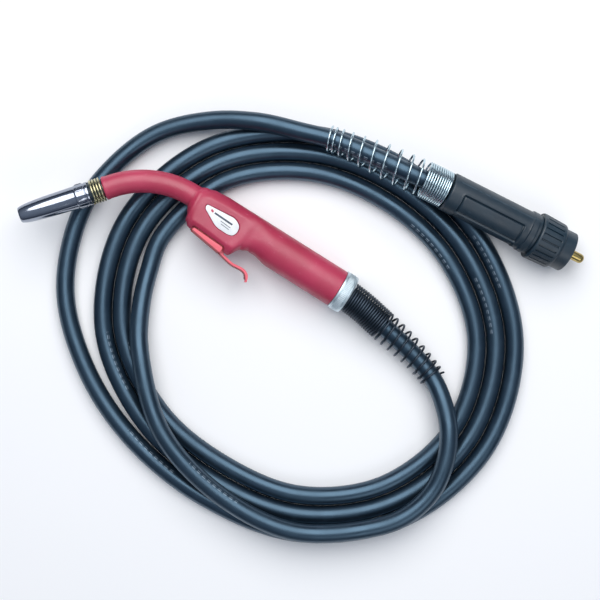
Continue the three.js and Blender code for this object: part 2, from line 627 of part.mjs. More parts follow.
function plugCore() {
  const body = turned([[-39.7, NIPPLE_R + GAP], [-39.7, 13.1], [-6.3, 13.1], [-6.3, 14.8],
    [-2, 14.8], [-2, 13.2], [PLUG_FACE, 13.2], [PLUG_FACE, NIPPLE_R + GAP]], 22);
  const wells = [-1, 1].map((side) => bar(-24, PLUG_FACE + 1, PIN_R + GAP, 14)
    .translate(0, side * PIN_CIRCLE_R * Math.sin(0.42), PIN_CIRCLE_R * Math.cos(0.42)));
  const nipple = turned([[-38, 1.6], [-38, NIPPLE_R], [8, NIPPLE_R], [8, 3.4], [10.2, 3.4],
    [10.2, NIPPLE_R], [NIPPLE_END - 3.4, NIPPLE_R], [NIPPLE_END - 0.9, 3.3], [NIPPLE_END, 2.1],
    [NIPPLE_END, 1.6]], 16);
  const oRing = new THREE.TorusGeometry(4.4, 0.7, 6, 14).rotateY(Math.PI / 2).translate(9.1, 0, 0);
  const pins = wells.map((_, i) => {
    const side = i ? 1 : -1;
    const pin = turned([[-20, 0], [-20, PIN_R], [8, PIN_R], [9.4, 1.2], [9.4, 0]], 14);
    return mesh(`control_pin_${i + 1}`, pin.translate(0, side * PIN_CIRCLE_R * Math.sin(0.42),
      PIN_CIRCLE_R * Math.cos(0.42)), brass());
  });
  return [mesh('plug_body', cut(body, ...wells), blackPlastic()), mesh('gas_nipple', nipple, brass()),
    mesh('nipple_o_ring', oRing, cableRubber()), ...pins];
}

function unionNut() {
  const shape = new THREE.Shape();
  for (let i = 0; i < NUT_RIBS; i++) {
    for (const [part, r] of [[0, NUT_R[0]], [0.42, NUT_R[0]], [0.54, NUT_R[0] - 1.5],
      [0.88, NUT_R[0] - 1.5]]) {
      const a = (2 * Math.PI * (i + part)) / NUT_RIBS;
      if (i + part === 0) shape.moveTo(r, 0);
      else shape.lineTo(r * Math.cos(a), r * Math.sin(a));
    }
  }
  const ribbed = slab(shape, -NUT_L, 0).rotateY(Math.PI / 2).rotateX(Math.PI / 2);
  const envelope = turned([[-NUT_L, 0], [-NUT_L, NUT_R[0] - 0.8], [-NUT_L + 1, NUT_R[0]],
    [-2.2, NUT_R[1] + 0.1], [0, NUT_R[1] - 1.2], [0, 0]], 24);
  const skirt = turned([[-4, 0], [-4, SKIRT_R], [SKIRT_L - 0.6, SKIRT_R], [SKIRT_L, SKIRT_R - 0.6],
    [SKIRT_L, 0]], 28);
  const bore = turned([[-NUT_L - 1, 0], [-NUT_L - 1, 13.1 + GAP], [-6.3 - GAP, 13.1 + GAP],
    [-6.3 - GAP, SKIRT_BORE_R], [SKIRT_L + 1, SKIRT_BORE_R], [SKIRT_L + 1, 0]], 24);
  const solid = toSolid(ribbed).intersect(toSolid(envelope)).add(toSolid(skirt))
    .subtract(toSolid(bore));
  return mesh('union_nut', toGeometry(solid), blackPlastic());
}

function plugInside() {
  const crimp = turned([[CABLE_END + GAP, 2.5], [CABLE_END + GAP, 10.5], [-86, 10.5], [-86, 8],
    [-80, 8], [-80, 2.5]], 18);
  const conduit = ring(-79.7, -38.3, 1.6, 5.2, 14);
  return [mesh('cable_socket_rear', crimp, brass()), mesh('plug_conduit', cut(conduit,
    bar(-39.9, -30, 20, 12)), brass())];
}

// ---------------------------------------------------------------- assembly
const torch = new THREE.Group();

const handle = new THREE.Group();
handle.position.set(...HANDLE_REAR);
handle.rotation.y = HANDLE_TILT;
handle.add(...handleShells(), ...handleScrews(), badge(), lockRing(), cableSocket());
handle.add(triggerLever(), triggerPin(), ...microSwitch(), triggerSpring());
handle.add(...neckParts(), noseParts());

plug.add(...housingShells(), ...housingScrews(), ...plugInside(), ...plugCore(), unionNut());

torch.add(handle, cable(), ...strainReliefs(), plug);

export default torch;
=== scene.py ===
"""A MIG welding torch with its cable and machine plug, lying on a pale floor."""
import math

import bmesh
import bpy
import numpy as np
from mathutils import Matrix, Vector


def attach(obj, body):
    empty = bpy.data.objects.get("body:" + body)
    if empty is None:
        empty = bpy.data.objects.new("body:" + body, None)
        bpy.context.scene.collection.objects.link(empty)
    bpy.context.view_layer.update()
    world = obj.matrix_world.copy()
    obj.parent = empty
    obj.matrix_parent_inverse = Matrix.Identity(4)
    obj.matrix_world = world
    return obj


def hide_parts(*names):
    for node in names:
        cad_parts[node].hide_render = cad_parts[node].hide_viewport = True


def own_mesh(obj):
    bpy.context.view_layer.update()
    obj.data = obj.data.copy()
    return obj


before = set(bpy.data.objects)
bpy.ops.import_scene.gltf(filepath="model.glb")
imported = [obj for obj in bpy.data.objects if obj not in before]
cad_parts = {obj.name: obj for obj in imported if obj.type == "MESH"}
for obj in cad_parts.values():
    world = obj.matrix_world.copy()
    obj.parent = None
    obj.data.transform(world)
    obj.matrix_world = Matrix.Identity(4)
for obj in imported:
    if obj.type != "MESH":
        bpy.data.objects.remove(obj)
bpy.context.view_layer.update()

# ---------------------------------------------------------------- dimensions, in mm as in the CAD
MM = 0.001
RAD = math.pi / 180

HANDLE_REAR = (75.8, 38.8, 19.2)
HANDLE_TILT = 5.2 * RAD
HANDLE_L = 151
SPIGOT_R, SPIGOT_L = 13.6, 8
RING_R, RING_L = 18.2, 11.4
NECK_OFFSET, NECK_BEND_R, NECK_BEND, NECK_STRAIGHT = 1.8, 83.5, 50 * RAD, 8.5
SLEEVE_R = 10.25
PIVOT = (-141, -20.4)
LEVER_HALF_W = 5.6
CHEEK_HALF_W = 11.8  # the lever where it shows in the slots
BUTTON_X = PIVOT[0] + 12  # the switch's button, in the handle's frame
RETURN_SPRING_X = -115.2

PLUG_FRONT = (220.8, 173.5, 20.75)
PLUG_TILT, PLUG_YAW = 7.8 * RAD, 6.1 * RAD
HOUSING_START, HOUSING_END, HOUSING_R = -110.7, -24, (17.5, 18.2)
NUT_L, NUT_R, NUT_RIBS = 23.5, (21.7, 20.8), 24
SKIRT_R, SKIRT_L, SKIRT_BORE_R = 18.2, 11.3, 15.4
PIN_CIRCLE_R, PIN_ANGLE = 9.4, 0.42

CABLE_R = 8.2
FLOOR_Z = CABLE_R + 0.2


def moved(x, y, z):
    return Matrix.Translation((x, y, z))


def turned_by(angle, axis):
    return Matrix.Rotation(angle, 4, axis)


ROW = Matrix.Scale(MM, 4)
HANDLE = ROW @ moved(*HANDLE_REAR) @ turned_by(HANDLE_TILT, "Y")
NECK_END = (
    -HANDLE_L - NECK_BEND_R * math.sin(NECK_BEND) - NECK_STRAIGHT * math.cos(NECK_BEND),
    NECK_OFFSET - NECK_BEND_R * (1 - math.cos(NECK_BEND)) - NECK_STRAIGHT * math.sin(NECK_BEND),
    0,
)
NOSE = HANDLE @ moved(*NECK_END) @ turned_by(math.pi + NECK_BEND, "Z")
PLUG = ROW @ moved(*PLUG_FRONT) @ turned_by(PLUG_YAW, "Z") @ turned_by(PLUG_TILT, "Y")

# ---------------------------------------------------------------- camera
VIEW_CENTRE = (0.053, 0.0125)
VIEW_HEIGHT = 1.05
VIEW_TURN = 32 * RAD
VIEW_WIDTH = 0.540  # at the height of the cable's centre
SENSOR = 36


def make_camera():
    camera = bpy.data.cameras.new("camera")
    camera.sensor_width = SENSOR
    camera.lens = SENSOR * (VIEW_HEIGHT - CABLE_R * MM) / VIEW_WIDTH
    shown = bpy.data.objects.new("camera", camera)
    shown.location = (*VIEW_CENTRE, VIEW_HEIGHT)
    shown.rotation_euler = (0, 0, VIEW_TURN)
    bpy.context.scene.collection.objects.link(shown)
    bpy.context.scene.camera = shown


# ---------------------------------------------------------------- small tools
def smoothstep(low, high, x):
    t = np.clip((np.asarray(x, float) - low) / (high - low), 0, 1)
    return t * t * (3 - 2 * t)


def eased(stations, x):
    """y at x from a list of [x, y] stations, with an eased change between them."""
    for (x0, y0), (x1, y1) in zip(stations, stations[1:]):
        if x < x1:
            return y0 + (y1 - y0) * float(smoothstep(x0, x1, x))
    return stations[-1][1]


def softened(outline, r, steps=3, closed=True):
    """An outline with each corner made round, by at most r."""
    points = [np.array(p, float) for p in outline]
    out, n = [], len(points)
    for i, p in enumerate(points):
        if not closed and i in (0, n - 1):
            out.append(p)
            continue
        before, after = points[i - 1] - p, points[(i + 1) % n] - p
        lb, la = np.linalg.norm(before), np.linalg.norm(after)
        cut = min(r, 0.45 * lb, 0.45 * la)
        a, b = p + before * cut / lb, p + after * cut / la
        for t in np.linspace(0, 1, steps + 1):
            out.append(a * (1 - t) ** 2 + 2 * p * t * (1 - t) + b * t**2)
    return np.array(out)


class Line:
    """A smooth line through points: a centripetal Catmull-Rom curve, read by length."""

    def __init__(self, knots, steps=40):
        p = np.array(knots, float)
        p = np.vstack([2 * p[0] - p[1], p, 2 * p[-1] - p[-2]])
        t = np.linspace(0, 1, steps, endpoint=False)[:, None]
        parts = []
        for p0, p1, p2, p3 in zip(p, p[1:], p[2:], p[3:]):
            d0, d1, d2 = (max(np.linalg.norm(b - a) ** 0.5, 1e-4)
                          for a, b in ((p0, p1), (p1, p2), (p2, p3)))
            m1 = ((p1 - p0) / d0 - (p2 - p0) / (d0 + d1) + (p2 - p1) / d1) * d1
            m2 = ((p2 - p1) / d1 - (p3 - p1) / (d1 + d2) + (p3 - p2) / d2) * d1
            parts.append(p1 + m1 * t + (3 * (p2 - p1) - 2 * m1 - m2) * t**2
                         + (2 * (p1 - p2) + m1 + m2) * t**3)
        self.points = np.vstack([*parts, p[-2:-1]])
        gaps = np.linalg.norm(np.diff(self.points, axis=0), axis=1)
        self.at_length = np.concatenate([[0], np.cumsum(gaps)])
        self.length = self.at_length[-1]

    def at(self, s):
        return np.stack([np.interp(s, self.at_length, self.points[:, k]) for k in range(3)], -1)

    def forward(self, s):
        step = self.at(np.minimum(s + 0.5, self.length)) - self.at(np.maximum(s - 0.5, 0))
        return step / np.linalg.norm(step, axis=-1, keepdims=True)


# ---------------------------------------------------------------- meshes
def new_object(name, vertices, faces, uvs=None):
    mesh = bpy.data.meshes.new(name)
    mesh.from_pydata([tuple(v) for v in vertices], [], faces)
    if uvs is not None:
        layer = mesh.uv_layers.new(name="UVMap")
        layer.data.foreach_set("uv", np.asarray(uvs, np.float32).ravel())
    shape = bmesh.new()
    shape.from_mesh(mesh)
    bmesh.ops.remove_doubles(shape, verts=shape.verts, dist=1e-5)
    bmesh.ops.recalc_face_normals(shape, faces=shape.faces)
    shape.to_mesh(mesh)
    shape.free()
    made = bpy.data.objects.new(name, mesh)
    bpy.context.scene.collection.objects.link(made)
    return made


def skin(name, rows, along, around, close_rows=False, caps=True):
    """A mesh through rows of points. Each row is a loop; the rows end in caps or join up."""
    rows = np.asarray(rows, float)
    n, m = rows.shape[:2]
    faces, uvs = [], []
    for i in range(n if close_rows else n - 1):
        k = (i + 1) % n
        for j in range(m):
            j2 = (j + 1) % m
            faces.append((i * m + j, k * m + j, k * m + j2, i * m + j2))
            uvs += [(along[i], around[j]), (along[i + 1], around[j]),
                    (along[i + 1], around[j + 1]), (along[i], around[j + 1])]
    if caps and not close_rows:
        for i in (0, n - 1):
            faces.append(tuple(range(i * m, (i + 1) * m)))
            uvs += [(along[i], around[j]) for j in range(m)]
    return new_object(name, rows.reshape(-1, 3), faces, np.array(uvs) * MM)


def turned(name, outline, segments=72, relief=None):
    """An [x, radius] outline turned about X. relief(x, r, angle) is added to the radius."""
    outline = np.array(outline, float)
    angle = np.linspace(0, 2 * math.pi, segments, endpoint=False)
    x, r = (np.repeat(outline[:, k, None], segments, 1) for k in (0, 1))
    if relief:
        r = r + relief(x, r, angle[None, :])
    rows = np.stack([x, r * np.cos(angle), r * np.sin(angle)], -1)
    closed = outline[0][1] > 0.01 or outline[-1][1] > 0.01
    steps = np.linalg.norm(np.diff(np.vstack([outline, outline[:1]]), axis=0), axis=1)
    along = np.concatenate([[0], np.cumsum(steps)])
    around = np.append(angle, 2 * math.pi) * outline[:, 1].max()
    return skin(name, rows, along, around, close_rows=closed, caps=False)


def tube(name, points, radius, sides=12, round_ends=True):
    """A round tube along points. radius is one number, or one for each point."""
    points = np.asarray(points, float)
    radius = np.broadcast_to(np.asarray(radius, float), len(points)).copy()
    forward = np.gradient(points, axis=0)
    forward /= np.linalg.norm(forward, axis=1)[:, None]
    if round_ends:
        ends = np.linspace(90, 15, 4) * RAD
        head = [(points[0] - forward[0] * radius[0] * math.sin(a), forward[0],
                 max(radius[0] * math.cos(a), 1e-3)) for a in ends]
        tail = [(points[-1] + forward[-1] * radius[-1] * math.sin(a), forward[-1],
                 max(radius[-1] * math.cos(a), 1e-3)) for a in ends[::-1]]
        points, forward, radius = (np.array([e[k] for e in head] + list(body)
                                            + [e[k] for e in tail], float)
                                   for k, body in enumerate((points, forward, radius)))
    reference = np.cross((0, 0, 1), forward[0])
    angle = np.linspace(0, 2 * math.pi, sides, endpoint=False)
    rows = []
    for p, f, r in zip(points, forward, radius):
        reference = reference - f * reference.dot(f)
        reference /= np.linalg.norm(reference)
        up = np.cross(f, reference)
        rows.append(p + r * (np.cos(angle)[:, None] * reference + np.sin(angle)[:, None] * up))
    gaps = np.linalg.norm(np.diff(points, axis=0), axis=1)
    along = np.concatenate([[0], np.cumsum(gaps)])
    around = np.append(angle, 2 * math.pi) * radius.max()
    return skin(name, rows, along, around)


def prism(name, outline, low, high, edge=0.0, steps=3):
    """An XY outline made as thick as low to high, its edges rounded by edge."""
    outline = np.array(outline, float)
    if polygon_area(outline) < 0:
        outline = outline[::-1]
    ahead = np.roll(outline, -1, 0) - np.roll(outline, 1, 0)
    inward = np.stack([-ahead[:, 1], ahead[:, 0]], -1)
    inward /= np.linalg.norm(inward, axis=1)[:, None]
    quarter = np.linspace(0, 90, steps + 1) * RAD if edge else [math.pi / 2]
    rows = [(low + edge * (1 - math.cos(a)), edge * (1 - math.sin(a))) for a in quarter]
    rows += [(high - (z - low), inset) for z, inset in rows[::-1]]
    loops = [np.column_stack([outline + inward * inset, np.full(len(outline), z)])
             for z, inset in rows]
    gaps = np.linalg.norm(outline - np.roll(outline, 1, 0), axis=1)
    around = np.concatenate([[0], np.cumsum(gaps)])
    return skin(name, loops, [z for z, _ in rows] + [0], around)


def polygon_area(outline):
    x, y = outline[:, 0], outline[:, 1]
    return 0.5 * float(np.sum(x * np.roll(y, -1) - np.roll(x, -1) * y))


def rod(name, x, y, r, low, high, sides=32):
    """A round bar along Z."""
    a = np.linspace(0, 2 * math.pi, sides, endpoint=False)
    return prism(name, np.column_stack([x + r * np.cos(a), y + r * np.sin(a)]), low, high)


def block(name, low, high):
    corners = [(low[0], low[1]), (high[0], low[1]), (high[0], high[1]), (low[0], high[1])]
    return prism(name, corners, low[2], high[2])


def baked(piece):
    """Applies a piece's modifiers."""
    graph = bpy.context.evaluated_depsgraph_get()
    mesh = bpy.data.meshes.new_from_object(piece.evaluated_get(graph))
    piece.modifiers.clear()
    piece.data = mesh
    return piece


def combined(piece, operation, *tools):
    """Cuts tools out of a piece, or adds them to it, and removes them."""
    for tool in tools:
        step = piece.modifiers.new("shape", "BOOLEAN")
        step.operation, step.object, step.solver = operation, tool, "EXACT"
        baked(piece)
        bpy.data.objects.remove(tool)
    return piece


def moulded(piece, voxel, smooth):
    """Rounds every edge of a solid a little, as a mould does."""
    remesh = piece.modifiers.new("voxels", "REMESH")
    remesh.mode, remesh.voxel_size = "VOXEL", voxel
    step = piece.modifiers.new("smooth", "SMOOTH")
    step.factor, step.iterations = 0.5, smooth
    return baked(piece)


def placed(piece, where, material, body, slot, *nodes, sharp=40):
    """Puts a finished piece in the row frame, with its finish, body and the CAD it stands for."""
    piece.data.transform(where)
    piece.data.materials.clear()
    piece.data.materials.append(material)
    for face in piece.data.polygons:
        face.use_smooth = True
    piece.data.set_sharp_from_angle(angle=sharp * RAD)
    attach(piece, body)
    if nodes:
        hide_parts(*nodes)
    return piece


# ---------------------------------------------------------------- materials
class Graph:
    """A material's nodes. An input is a number, a colour, or another node's output."""

    def __init__(self, name):
        self.material = bpy.data.materials.new(name)
        self.material.use_nodes = True
        self.tree = self.material.node_tree
        self.shader = self.tree.nodes["Principled BSDF"]

    def add(self, kind, inputs=(), output=0, **settings):
        node = self.tree.nodes.new("ShaderNode" + kind)
        for key, value in settings.items():
            setattr(node, key, value)
        self.fill(node, dict(inputs))
        return node.outputs[output]

    def fill(self, node, inputs):
        for key, value in inputs.items():
            socket = node.inputs[key]
            if isinstance(value, bpy.types.NodeSocket):
                self.tree.links.new(value, socket)
            else:
                socket.default_value = value

    def math(self, operation, a, b=0.0):
        return self.add("Math", {0: a, 1: b}, operation=operation)

    def noise(self, scale, detail=3.0, where=None, rough=0.5):
        where = where or self.add("TexCoord", output="Object")
        return self.add("TexNoise", {"Vector": where, "Scale": scale, "Detail": detail,
                                     "Roughness": rough})

    def levels(self, value, low, high, to_low=0.0, to_high=1.0):
        return self.add("MapRange", {"Value": value, "From Min": low, "From Max": high,
                                     "To Min": to_low, "To Max": to_high})

    def mix(self, share, a, b):
        return self.add("Mix", {"Factor": share, 6: a, 7: b}, output=2, data_type="RGBA")

    def stretched(self, along, around):
        """UV coordinates in metres, scaled apart along and around a turned or drawn piece."""
        uv = self.add("UVMap", output="UV")
        return self.add("Mapping", {"Vector": uv, "Scale": (along, around, 1)})

    def bump(self, height, distance, strength=1.0):
        return self.add("Bump", {"Height": height, "Distance": distance, "Strength": strength})

    def finish(self, **inputs):
        self.fill(self.shader, {key.replace("_", " "): value for key, value in inputs.items()})
        return self.material


def colour(r, g, b):
    """A colour seen on a screen, from 0 to 255, as linear light."""
    return (*(((v / 255 + 0.055) / 1.055) ** 2.4 if v > 10 else v / 255 / 12.92
              for v in (r, g, b)), 1.0)


def moulded_plastic(name, base, dull, wear_and_highlight, rough, grain=1500.0, depth=0.00012, gloss=0.5):
    """Moulded plastic: a fine grain, uneven colour, scuffs, and edges that handling wears. Edges and
    scuffs take a lighter tint: wear, and on the red plastic also a painted highlight.
    """
    g = Graph(name)
    patches = g.levels(g.noise(28, 4), 0.35, 0.65)
    body = g.mix(patches, base, dull)
    scuffs = g.levels(g.noise(160, 6, rough=0.7), 0.62, 0.74)
    edges = g.levels(g.add("NewGeometry", output="Pointiness"), 0.53, 0.60)
    rubbed_and_lit_edges = g.math("MULTIPLY", edges, g.levels(g.noise(240, 3), 0.35, 0.6))
    tint = g.mix(g.math("MULTIPLY", g.math("MAXIMUM", rubbed_and_lit_edges, scuffs), 0.35), body, wear_and_highlight)
    fine = g.noise(grain, 2)
    roughness = g.math("ADD", g.levels(g.noise(90, 4), 0.3, 0.7, rough - 0.06, rough + 0.08),
                       g.math("MULTIPLY", scuffs, 0.1))
    return g.finish(Base_Color=tint, Roughness=roughness, Specular_IOR_Level=gloss,
                    Normal=g.bump(fine, depth, 0.55))


def rubber(name, base, dull, rough):
    """A smooth cable sheath with faint draw lines, dust, and rows of printed dashes."""
    g = Graph(name)
    lines = g.noise(1.0, 2, g.stretched(30, 2200))
    dust = g.levels(g.noise(70, 6, rough=0.65), 0.5, 0.75)
    body = g.mix(g.math("MULTIPLY", dust, 0.5), base, dull)
    uv = g.add("SeparateXYZ", {0: g.add("UVMap", output="UV")})
    u, v = uv, uv.node.outputs["Y"]
    dash = g.math("LESS_THAN", g.math("MODULO", u, 0.0062), 0.0036)
    near = g.math("LESS_THAN", g.math("ABSOLUTE", g.math("SUBTRACT", v, 0.0165)), 0.00045)
    second = g.math("LESS_THAN", g.math("ABSOLUTE", g.math("SUBTRACT", v, 0.0180)), 0.0002)
    label = g.math("LESS_THAN", g.math("MODULO", g.math("ADD", u, 0.12), 0.53), 0.056)
    ink = g.math("MULTIPLY", g.math("MULTIPLY", dash, label), g.math("MAXIMUM", near, second))
    tint = g.mix(g.math("MULTIPLY", ink, 0.7), body, colour(140, 155, 168))
    roughness = g.levels(g.noise(40, 5), 0.3, 0.7, rough - 0.05, rough + 0.09)
    return g.finish(Base_Color=tint, Roughness=roughness, Specular_IOR_Level=1.0, IOR=1.68,
                    Specular_Tint=colour(170, 212, 245), Normal=g.bump(lines, 0.00006, 0.5))


def turned_metal(name, base, dark, rough, lines=9000.0, stain=0.35, depth=0.00003):
    """Metal with tool or draw marks along its UV, stains, and duller hollows."""
    g = Graph(name)
    marks = g.noise(1.0, 3, g.stretched(lines, 40))
    stains = g.levels(g.noise(110, 5, rough=0.6), 0.42, 0.72)
    hollows = g.levels(g.add("NewGeometry", output="Pointiness"), 0.50, 0.44)
    share = g.math("MINIMUM", g.math("ADD", g.math("MULTIPLY", stains, stain),
                                     g.math("MULTIPLY", hollows, 0.5)), 1.0)
    tint = g.mix(share, base, dark)
    roughness = g.math("ADD", g.levels(marks, 0.3, 0.7, rough - 0.04, rough + 0.05),
                       g.math("MULTIPLY", stains, 0.08))
    return g.finish(Base_Color=tint, Metallic=1.0, Roughness=roughness,
                    Normal=g.bump(marks, depth, 0.4))


def badge_face(name):
    g = Graph(name)
    tint = g.mix(g.levels(g.noise(120, 4), 0.4, 0.7), colour(240, 243, 246), colour(226, 230, 233))
    scratch = g.noise(900, 5, rough=0.7)
    return g.finish(Base_Color=tint, Roughness=g.levels(scratch, 0.3, 0.7, 0.22, 0.36),
                    Coat_Weight=0.4, Coat_Roughness=0.15, Normal=g.bump(scratch, 0.00002, 0.3))


def pale_floor(name):
    g = Graph(name)
    tint = g.mix(g.noise(3, 2), colour(250, 250, 251), colour(246, 247, 249))
    return g.finish(Base_Color=tint, Roughness=0.85, Specular_IOR_Level=0.2)


# The red's third colour, laid on edges and scuffs, is a painted highlight tint as well as wear.
RED = moulded_plastic("red_plastic", colour(186, 50, 85), colour(172, 42, 73),
                      colour(216, 118, 152), 0.42, grain=850, depth=0.0002, gloss=0.8)
SALMON = moulded_plastic("trigger_plastic", colour(240, 108, 122), colour(230, 96, 112),
                         colour(246, 164, 170), 0.42, grain=1100)
# The rib strips' colour is darkened: painted shade, for the ribbed outer edge that lies in shade.
SHADED_SALMON = moulded_plastic("trigger_ribs", colour(150, 58, 66), colour(96, 44, 48),
                               colour(220, 110, 118), 0.5, grain=1100)
BLACK = moulded_plastic("black_plastic", colour(19, 45, 60), colour(14, 36, 50),
                        colour(70, 94, 110), 0.42, depth=0.00010, gloss=0.75)
SHEATH = rubber("cable_rubber", colour(16, 25, 34), colour(40, 54, 66), 0.33)
BRASS = turned_metal("brass", colour(196, 174, 112), colour(118, 100, 58), 0.22)
PALE_BRASS = turned_metal("pale_brass", colour(206, 200, 162), colour(92, 88, 60), 0.2, 300, 0.5)
COPPER = turned_metal("copper", colour(214, 146, 108), colour(122, 72, 50), 0.24)
CHROME = turned_metal("chrome", colour(160, 166, 178), colour(96, 104, 124), 0.07, 5000, 0.16,
                      0.000008)
STEEL = turned_metal("steel", colour(192, 197, 203), colour(108, 112, 118), 0.28)
RING_METAL = turned_metal("ring_metal", colour(226, 240, 246), colour(150, 166, 176), 0.46)
ZINC = turned_metal("zinc_wire", colour(200, 220, 228), colour(104, 124, 134), 0.2, 300, 0.3)
BLACK_WIRE = turned_metal("black_wire", colour(66, 76, 88), colour(24, 28, 34), 0.36, 300, 0.4)
BADGE_WHITE = badge_face("badge_white")
INK = moulded_plastic("badge_ink", colour(40, 52, 70), colour(52, 64, 82),
                      colour(90, 100, 115), 0.4)
RED_INK = moulded_plastic("badge_red_ink", colour(196, 48, 80), colour(182, 44, 72),
                          colour(214, 110, 130), 0.4)
FLOOR_PAINT = pale_floor("floor")

# ---------------------------------------------------------------- cable
CABLE_START = [
    (80, 38.8, 18.8), (104, 36.6, 16.9), (127, 32.4, 15.4), (149, 28.4, 14.5), (171, 23.2, 14.2),
    (191, 15.8, 15.6), (209, 3, 20), (225.5, -15, 24.4), (237.5, -39.5, 26), (242, -68, 26),
    (235, -97, 26), (216.5, -122.5, 26), (156, -164.5, 26), (82, -171.5, 26), (10.5, -151, 27),
    (-43.5, -101.5, 22.2), (-63, -71, 14.5), (-76, -37, 10), (-82.5, -3, 8.5),
]
CABLE_FINISH = [
    (-8.5, -173.5, FLOOR_Z), (-76.5, -142.5, FLOOR_Z), (-131, -91.5, FLOOR_Z),
    (-156.5, -22, FLOOR_Z), (-153, 26, FLOOR_Z), (-135.5, 70.5, 10.5), (-102, 104.5, 15.5),
    (-63, 126.5, 23.5), (-24, 139.6, 27), (3, 147.6, 30.5), (44, 153.9, 36), (70, 156.8, 38.2),
]
TURN_CENTRE = (74, -11)
TURN_SHAPE = [139.7, 133.7, 124.2, 116.7, 125.2, 140.7, 148.7, 145.7, 134.2, 126.7, 129.7, 137.7]
TURN_GROWTH = 17.2
TURN_STEP = 360 // len(TURN_SHAPE)
FIRST_TURN_ANGLE, LAST_TURN_ANGLE = 210, 1170
CABLE_END = HOUSING_START + 12


def loose_turns():
    points = []
    for angle in range(FIRST_TURN_ANGLE, LAST_TURN_ANGLE + 1, TURN_STEP):
        r = TURN_SHAPE[angle // TURN_STEP % len(TURN_SHAPE)] + TURN_GROWTH * angle / 360
        points.append((TURN_CENTRE[0] + r * math.cos(angle * RAD),
                       TURN_CENTRE[1] - r * math.sin(angle * RAD), FLOOR_Z))
    return points


def on_plug_axis(u):
    return tuple(PLUG @ Vector((u, 0, 0)) / MM)


CABLE_LINE = Line([*CABLE_START, *loose_turns(), *CABLE_FINISH, on_plug_axis(HOUSING_START - 17),
                   on_plug_axis(HOUSING_START + 0.5), on_plug_axis(CABLE_END)])


def cable():
    points = CABLE_LINE.at(np.linspace(0, CABLE_LINE.length, 1000))
    sheath = tube("cable_sheath", points, CABLE_R, sides=28, round_ends=False)
    placed(sheath, ROW, SHEATH, "torch", "cable_rubber", "cable")
    return sheath, points


# ---------------------------------------------------------------- springs
FRONT_PITCHES = [2.34] * 17 + [6, 7.8, 8.3, 8.3, 8.5, 8.2, 7.8, 5.6, 5]
REAR_PITCHES = [4, 5.6, 8.4, 10.6, 11, 11.5, 11.5, 11.2, 9.8, 7.5] + [1.95] * 11
FRONT_WIRE_R, REAR_WIRE_R = 1.0, 0.9


def coil(name, line, start, pitches, radius_at, wire, per_turn=30):
    """A wire wound round a line, with a pitch for each turn."""
    turns = np.linspace(0, len(pitches), len(pitches) * per_turn + 1)
    along = np.interp(turns, range(len(pitches) + 1), start + np.cumsum([0, *pitches]))
    forward = line.forward(along)
    side = np.cross((0, 0, 1), forward)
    side /= np.linalg.norm(side, axis=1)[:, None]
    up = np.cross(forward, side)
    r = np.array([radius_at(s) for s in along])[:, None]
    angle = (2 * math.pi * turns)[:, None]
    points = line.at(along) + r * (np.cos(angle) * side + np.sin(angle) * up)
    return tube(name, points, wire, sides=10)


def front_spring():
    start = RING_L - 4.2 + FRONT_WIRE_R + 0.4
    made = coil("front_strain_spring", CABLE_LINE, start, FRONT_PITCHES,
                lambda s: eased([[0, 13.3], [50, 13.3], [112, 11]], s), FRONT_WIRE_R)
    placed(made, ROW, BLACK_WIRE, "torch", "black_wire", "front_spring")


def rear_spring():
    end = CABLE_LINE.length - (CABLE_END - HOUSING_START) - REAR_WIRE_R - 0.4
    start = end - sum(REAR_PITCHES)
    made = coil("rear_strain_spring", CABLE_LINE, start, REAR_PITCHES,
                lambda s: eased([[0, 11.1], [70, 15.6], [90, 15.9]], s - start), REAR_WIRE_R)
    return placed(made, ROW, ZINC, "torch", "zinc_wire", "rear_spring")


# ---------------------------------------------------------------- handle
BACK_EDGE = [[0, 17.2], [122, 17.2], [135, 16.3], [143, 14.3], [151, 11.6]]
TRIGGER_EDGE = [[0, 17.2], [64, 17.2], [80, 14.4], [85, 14.7], [91, 17], [99.5, 27.5],
                [137, 25.6], [141, 25], [145.5, 20.9], [148.5, 13], [151, 9]]
HALF_THICKNESS = [[0, 17.2], [70, 17.2], [90, 16.2], [104, 15.4], [138, 15.4], [146, 13.6],
                  [151, 11]]
SQUARENESS = [[0, 2], [72, 2], [100, 3.4], [140, 3.2], [151, 2.2]]
FLAT_SIDE = [[0, 0], [90, 0], [103, 1], [139, 1], [147, 0]]  # how far the side is a flat panel
SCREW_SPOTS = [(-24, 0), (-62, 0), (-98, 9), (-116, -3)]
SCREW_HEAD_R, SCREW_HEAD_Z = 2.7, -9.5
BADGE = [(-137, 1.5), (-109.4, 3.9), (-102.8, 0), (-101.9, -5.8), (-103.8, -10.2),
         (-108.4, -11.5), (-120.6, -11.1), (-136.6, -2.4)]
BADGE_Z, BADGE_DEPTH = 15.15, 0.7
CAVITY_HALF_W = 6.2  # the slot that the trigger works in
SLOT = [(-104.2, -40), (-104.2, -24), (-104.8, -22.2), (-107, -21.6), (-135.5, -20.2),
        (-137, -20.9), (-137.6, -23), (-137.6, -40)]


def handle_loop(s, angle):
    """One station of the handle. The front housing's sides are flat, with a crisp edge."""
    back, front = eased(BACK_EDGE, s), eased(TRIGGER_EDGE, s)
    thick, flat = eased(HALF_THICKNESS, s), eased(FLAT_SIDE, s)
    power = 2 / (eased(SQUARENESS, s) - 0.9 * flat)
    c, q = np.cos(angle), np.sin(angle)
    y = (back - front) / 2 + (back + front) / 2 * np.sign(c) * np.abs(c) ** power
    z = (thick + 2.4 * flat) * np.abs(q) ** power
    soft = 0.35
    clipped = np.minimum(z, thick) - np.maximum(soft - np.abs(z - thick), 0) ** 2 / (4 * soft)
    z = np.where(flat > 0, z * (1 - flat) + clipped * flat, z)
    return np.stack([np.full_like(y, -s), y, z * np.sign(q)], -1)


def badge_outline(margin, steps=6):
    outline = softened(BADGE, 3.5, steps)
    centre = outline.mean(0)
    offset = outline - centre
    d = np.linalg.norm(offset, axis=1)[:, None]
    return centre + offset * (d + margin) / d


